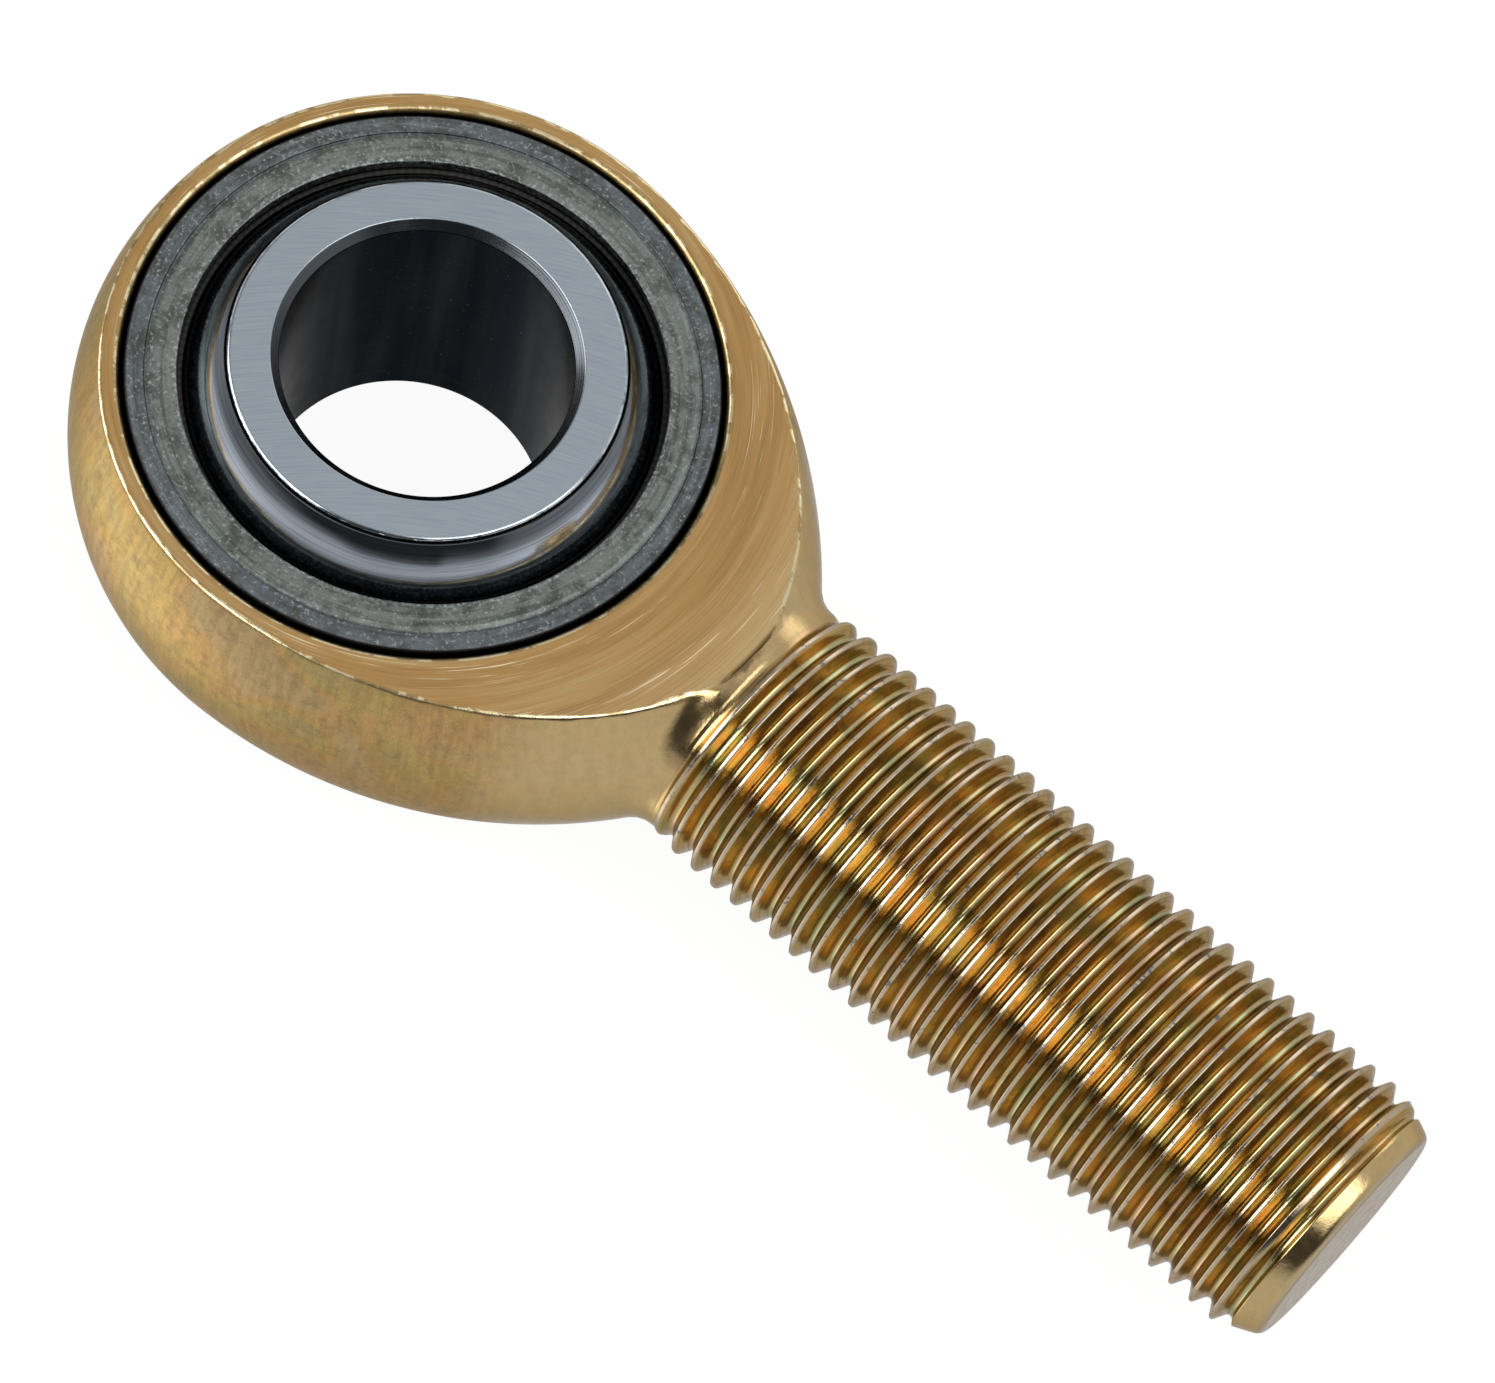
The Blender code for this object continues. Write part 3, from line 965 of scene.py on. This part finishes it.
def thread_colour(n, colour, place, phase, rolled, shank):
    """Amber flanks, beige crests with grey nicks, and roots that drift between green, gold and pink."""
    flank = n.ramp(n.noise(place, 0.35, 3.0, 0.6), FLANK_RAMP)
    flank = n.mix(n.between(rolled, 0.36, 0.56, 0.55, 0.0), flank, FLANK_DARK_LINE)
    stains = n.between(n.noise(place, 0.5, 4.0, 0.65), 0.54, 0.66, 0.0, 0.6)
    flank = n.mix(stains, flank, FLANK_STAIN)
    colour = n.mix(n.product(shank, 0.85), colour, flank)
    crest = n.product(shank, n.fading(phase, 0.07, 0.13))
    colour = n.mix(n.product(crest, 0.85), colour, CREST_BEIGE)
    nicks = n.product(crest, n.between(n.noise(place, 1.1, 5.0, 0.8), 0.56, 0.62))
    colour = n.mix(nicks, colour, CREST_NICK)
    root = n.product(shank, n.between(phase, 0.41, 0.45))
    root_colour = n.ramp(n.noise(place, 0.22, 1.0, 0.5), ROOT_RAMP)
    return n.mix(n.product(root, 0.6), colour, root_colour)


def thread_phase(n, x, y, z):
    """Distance from the nearest crest in pitches, from 0 at the crest to 0.5 at the root."""
    turn = n.math("DIVIDE", n.math("ARCTAN2", z, y), 2 * math.pi)
    along = n.math("DIVIDE", n.math("SUBTRACT", x, CREST_PLACE), THREAD_PITCH)
    turns = n.math("ADD", along, turn)
    return n.math("PINGPONG", turns, 0.5)


def race_steel():
    """Bare swaged steel: a smooth outer band, a grainy inner band, glints along the inner edge, and painted
    shade at the outer rim and in the mouth round the ball.
    """
    material, shader, n = start_material("race_steel_worn", 1.0, STEEL_EDGE_TINT)
    place = n.position()
    x, y, _ = n.split(place)
    bore_distance = n.hypot(x, y)
    grain = n.noise(place, 5.0, 5.0, 0.7)
    mottle = n.noise(place, 0.7, 4.0, 0.6)
    rings = n.noise(n.scaled((bore_distance, 2.2), (n.math("ARCTAN2", y, x), 1.0)), 1.4, 4.0, 0.65)

    inner = n.fading(bore_distance, RACE_GROOVE_RADIUS - 0.12, RACE_GROOVE_RADIUS)
    colour = n.mix(inner, RACE_OUTER_BAND, RACE_INNER_BAND)
    colour = n.mix(n.between(mottle, 0.44, 0.66, 0.0, 0.7), colour, RACE_DULL)
    colour = n.mix(n.between(rings, 0.36, 0.52, 0.55, 0.0), colour, RACE_DARK_RING)
    colour = n.mix(n.between(rings, 0.56, 0.72, 0.0, 0.45), colour, RACE_BRIGHT_RING)
    specks = n.between(grain, 0.54, 0.66, 0.0, 0.8)
    colour = n.mix(specks, colour, RACE_SPECK)
    pits = n.between(grain, 0.32, 0.42, 0.5, 0.0)
    colour = n.mix(pits, colour, RACE_PIT)
    # Painted shade: the outer rim goes near black where the race meets the body's seat.
    painted_rim = n.between(bore_distance, RACE_OUTER_RADIUS - 0.18, RACE_OUTER_RADIUS - 0.08)
    colour = n.mix(painted_rim, colour, RACE_RIM_SHADE)
    lip = n.fading(bore_distance, RACE_RELIEF_RADIUS + 0.05, RACE_RELIEF_RADIUS + 0.45)
    glints = n.product(lip, n.between(grain, 0.48, 0.62, 0.0, 0.7))
    colour = n.mix(glints, colour, RACE_GLINT)
    # Painted shade: near black in the mouth between the race and the ball.
    mouth_shade = n.fading(bore_distance, RACE_RELIEF_RADIUS - 0.10, RACE_RELIEF_RADIUS - 0.03)
    colour = n.mix(mouth_shade, colour, RACE_MOUTH_SHADE)
    n.feed(shader.inputs["Base Color"], colour)
    n.feed(shader.inputs["Roughness"], n.between(grain, 0.3, 0.7, 0.30, 0.55))

    outside = n.math("SUBTRACT", 1.0, mouth_shade)
    normal = n.bump(n.product(mottle, outside), 0.04)
    n.feed(shader.inputs["Normal"], n.bump(n.product(grain, outside), 0.035, normal))
    return material


def ball_chrome():
    """Chromed ball: polished sphere with a painted reflection band, ground faces with a painted highlight on
    their edges, ringed chamfer, and a bore of duller steel painted near black as shade.
    """
    material, shader, n = start_material("ball_chrome_ground", 1.0, STEEL_EDGE_TINT)
    place = n.position()
    x, y, z = n.split(place)
    height = n.math("ABSOLUTE", z)
    bore_distance = n.hypot(x, y)
    bore_angle = n.math("ARCTAN2", y, x)
    mouth_radius = BORE_RADIUS + BORE_CHAMFER
    face = n.between(height, BALL_HALF_WIDTH - 0.03, BALL_HALF_WIDTH - 0.01)
    chamfer = n.fading(bore_distance, mouth_radius - 0.06, mouth_radius)
    bore = n.fading(bore_distance, BORE_RADIUS + 0.01, BORE_RADIUS + 0.04)
    sphere = n.math("SUBTRACT", 1.0, n.math("MAXIMUM", face, chamfer))

    wheel_distance = n.vector("DISTANCE", place, WHEEL_CENTRE)
    ground = n.noise(n.scaled((wheel_distance, 7.0), (x, 0.25)), 1.6, 4.0, 0.6)
    rings = n.noise(n.scaled((bore_distance, 9.0), (z, 9.0)), 1.5, 3.0, 0.6)
    rub_and_reflection_noise = n.noise(n.scaled((z, 5.0), (bore_angle, 1.0)), 1.6, 4.0, 0.6)
    drawn = n.noise(n.scaled((bore_angle, 1.0), (z, 0.01)), 4.0, 2.0, 0.5)
    haze = n.noise(place, 0.5, 4.0, 0.6)

    colour = n.mix(n.between(ground, 0.3, 0.7), FACE_DARK, FACE_BRIGHT)
    colour = n.mix(sphere, colour, polished_colour(n, height, rub_and_reflection_noise))
    # Painted highlight: a pale line along the rounded edge of each face, broken by noise.
    painted_rim = n.product(
        sphere,
        n.between(height, BALL_HALF_WIDTH - 0.11, BALL_HALF_WIDTH - 0.07),
        n.between(bore_distance, mouth_radius + 0.3, mouth_radius + 0.5),
        n.between(haze, 0.42, 0.56, 0.15, 0.9),
    )
    colour = n.mix(painted_rim, colour, BALL_RIM_HIGHLIGHT)
    colour = n.mix(chamfer, colour, BALL_CHAMFER)
    # Painted shade: the bore's duller steel is coloured near black.
    bore_shade_colour = n.mix(n.between(drawn, 0.40, 0.70), BORE_SHADE_DARK, BORE_SHADE_LIGHT)
    dust = n.between(n.noise(place, 3.5, 3.0, 0.7), 0.66, 0.71, 0.0, 0.6)
    colour = n.mix(bore, colour, n.mix(dust, bore_shade_colour, BORE_DUST))
    n.feed(shader.inputs["Base Color"], colour)

    rough = n.math("ADD", n.between(haze, 0.4, 0.65, 0.06, 0.11), n.product(face, 0.20))
    rough = n.math("ADD", rough, n.product(chamfer, 0.15))
    n.feed(shader.inputs["Roughness"], rough)

    normal = n.bump(n.product(ground, face), 0.008)
    normal = n.bump(n.product(rub_and_reflection_noise, sphere), 0.0015, normal)
    n.feed(shader.inputs["Normal"], n.bump(n.product(rings, chamfer), 0.01, normal))
    return material


def polished_colour(n, height, rub_and_reflection_noise):
    """Dark chrome with a light band painted round each end of the sphere as a reflection."""
    polished = n.mix(n.between(rub_and_reflection_noise, 0.35, 0.65), SPHERE_DARK, SPHERE_BRIGHT)
    # Painted reflection: a light band round the sphere at a set height.
    from_band = n.math("ABSOLUTE", n.math("SUBTRACT", height, REFLECTION_BAND_HEIGHT))
    band = n.fading(from_band, 0.10, REFLECTION_BAND_HALF_WIDTH)
    return n.mix(n.product(band, n.between(rub_and_reflection_noise, 0.25, 0.60, 0.5, 1.0)), polished, SPHERE_PAINTED_REFLECTION)


def liner_fabric():
    """Dark woven PTFE."""
    material, shader, n = start_material("liner_weave", 0.0)
    x, y, z = n.split(n.position())
    across = n.math("SINE", n.product(n.math("ARCTAN2", y, x), 180.0))
    along = n.math("SINE", n.product(z, 12.0))
    weave = n.math("MULTIPLY_ADD", n.product(across, along), 0.5, 0.5)
    n.feed(shader.inputs["Base Color"], n.mix(weave, WEAVE_DARK, WEAVE_BRIGHT))
    shader.inputs["Roughness"].default_value = 0.75
    n.feed(shader.inputs["Normal"], n.bump(weave, 0.02))
    return material


# ---------------------------------------------------------------- stage, light and camera


# Floor, with lengths in millimetres
FLOOR_HALF_SIZE = 2000
FLOOR_GAP = 0.02
FLOOR_PAPER = 0.08
FLOOR_GLOW = 0.94

# Camera, with lengths in millimetres and angles in degrees
CAMERA_TARGET = (23.14, 1.43, 0)
CAMERA_DISTANCE = 368.45
CAMERA_AZIMUTH = -63.95
CAMERA_ELEVATION = 64.83
CAMERA_ROLL = 16.8
CAMERA_LENS = 164.3
SENSOR_WIDTH = 36
CLIP_START = 10

# Panels round the object: azimuth and elevation of the middle, turn about it, half width, half height and
# softness of the edges, all in degrees, then brightness. A later panel covers an earlier one.
PANELS = {
    "bounce": (-136, -46, 0, 20, 18, 22, 1.30),
    "ceiling": (116, 66, 0, 22, 16, 14, 0.58),
    "dark_left": (180, 38, 0, 26, 22, 16, 0.20),
    "dark_camera": (-85, 63, 0, 28, 9, 8, 0.05),
    "dark_front": (-44, 30, 0, 32, 22, 14, 0.05),
    "dark_side": (-90, 20, 0, 52, 11, 6, 0.05),
    "right_box": (-1, 57, 0, 22, 13, 12, 2.8),
    "back_box": (98, 20, 0, 26, 12, 16, 1.2),
    "key": (-136, 32, 28.7, 34, 15.5, 5, 3.3),
}

# Brightness of the studio between the panels, and the directions over which it changes
SKY_FRONT = 0.34
SKY_BACK = 0.50
SKY_CHANGE = (-0.4, 0.5)
GROUND = 0.56
HORIZON = (-0.15, 0.08)
WORLD_STRENGTH = 1.35
BACKDROP = 1.0


def make_floor():
    """A plain white sheet lit from below, with a faint shadow. The metal reflects the studio's own ground."""
    half = FLOOR_HALF_SIZE * MM
    height = (ball_low.z - FLOOR_GAP) * MM
    corners = [(-half, -half), (half, -half), (half, half), (-half, half)]
    mesh = bpy.data.meshes.new("floor")
    mesh.from_pydata([(x, y, height) for x, y in corners], [], [(0, 1, 2, 3)])
    floor = new_object("floor", mesh)
    material, shader, _ = start_material("floor_paper", 0.0)
    shader.inputs["Base Color"].default_value = (FLOOR_PAPER, FLOOR_PAPER, FLOOR_PAPER, 1)
    shader.inputs["Roughness"].default_value = 1.0
    shader.inputs["Specular IOR Level"].default_value = 0.0
    shader.inputs["Emission Color"].default_value = (1, 1, 1, 1)
    shader.inputs["Emission Strength"].default_value = FLOOR_GLOW
    floor.data.materials.append(material)
    floor.visible_glossy = False


def direction(azimuth, elevation):
    """The way to an azimuth, from +X towards +Y, and an elevation, both in degrees."""
    azimuth = math.radians(azimuth)
    elevation = math.radians(elevation)
    level = math.cos(elevation)
    return Vector((math.cos(azimuth) * level, math.sin(azimuth) * level, math.sin(elevation)))


def make_camera():
    back = direction(CAMERA_AZIMUTH, CAMERA_ELEVATION)
    camera = new_object("camera", bpy.data.cameras.new("camera"))
    camera.location = (Vector(CAMERA_TARGET) + back * CAMERA_DISTANCE) * MM
    roll = Matrix.Rotation(math.radians(CAMERA_ROLL), 3, "Z")
    turn = (-back).to_track_quat("-Z", "Y").to_matrix() @ roll
    camera.rotation_euler = turn.to_euler()
    camera.data.sensor_width = SENSOR_WIDTH
    camera.data.lens = CAMERA_LENS
    camera.data.clip_start = CLIP_START * MM
    bpy.context.scene.camera = camera


def panel_axes(azimuth, elevation, turn):
    """Directions to a panel's middle, along its width and along its height."""
    middle = direction(azimuth, elevation)
    level = direction(azimuth + 90, 0)
    spin = Matrix.Rotation(math.radians(turn), 3, middle)
    return middle, spin @ level, spin @ middle.cross(level)


def panel_cover(n, looking, axes, half_width, half_height, softness):
    """1 where a direction meets the panel, 0 beside it."""
    middle, along, across = axes
    ahead = n.vector("DOT_PRODUCT", looking, tuple(middle))
    cover = []
    for axis, half in ((along, half_width), (across, half_height)):
        beside = n.vector("DOT_PRODUCT", looking, tuple(axis))
        offset = n.math("ABSOLUTE", n.math("ARCTAN2", beside, ahead))
        low = math.radians(half - softness / 2)
        high = math.radians(half + softness / 2)
        cover.append(n.fading(offset, low, high))
    return n.product(*cover)


def make_light():
    """A studio with soft boxes and dark cards all round. The camera sees a plain white backdrop instead."""
    world = bpy.data.worlds.new("studio")
    bpy.context.scene.world = world
    world.use_nodes = True
    n = Nodes(world.node_tree)
    looking = n.add("ShaderNodeTexCoord").outputs["Generated"]
    _, back, up = n.split(looking)
    glow = n.between(back, *SKY_CHANGE, SKY_FRONT, SKY_BACK)
    glow = n.blend(n.fading(up, *HORIZON), glow, GROUND)
    for azimuth, elevation, turn, half_width, half_height, softness, brightness in PANELS.values():
        axes = panel_axes(azimuth, elevation, turn)
        cover = panel_cover(n, looking, axes, half_width, half_height, softness)
        glow = n.blend(cover, glow, brightness)
    seen = n.add("ShaderNodeLightPath").outputs["Is Camera Ray"]
    light = n.blend(seen, n.product(glow, WORLD_STRENGTH), BACKDROP)
    n.feed(world.node_tree.nodes["Background"].inputs["Color"], light)
    bpy.context.scene.view_settings.view_transform = "Standard"


# ---------------------------------------------------------------- assembly


def add_piece(piece, node, body, material):
    piece.data.materials.append(material)
    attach(piece, body)
    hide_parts(node)


def main():
    add_piece(make_body(), "rod_end_body", "housing", gold_chromate())
    add_piece(make_race(), "outer_race", "housing", race_steel())
    add_piece(make_liner(), "ptfe_liner", "liner", liner_fabric())
    add_piece(make_ball(), "ball", "ball", ball_chrome())
    make_floor()
    make_camera()
    make_light()


main()
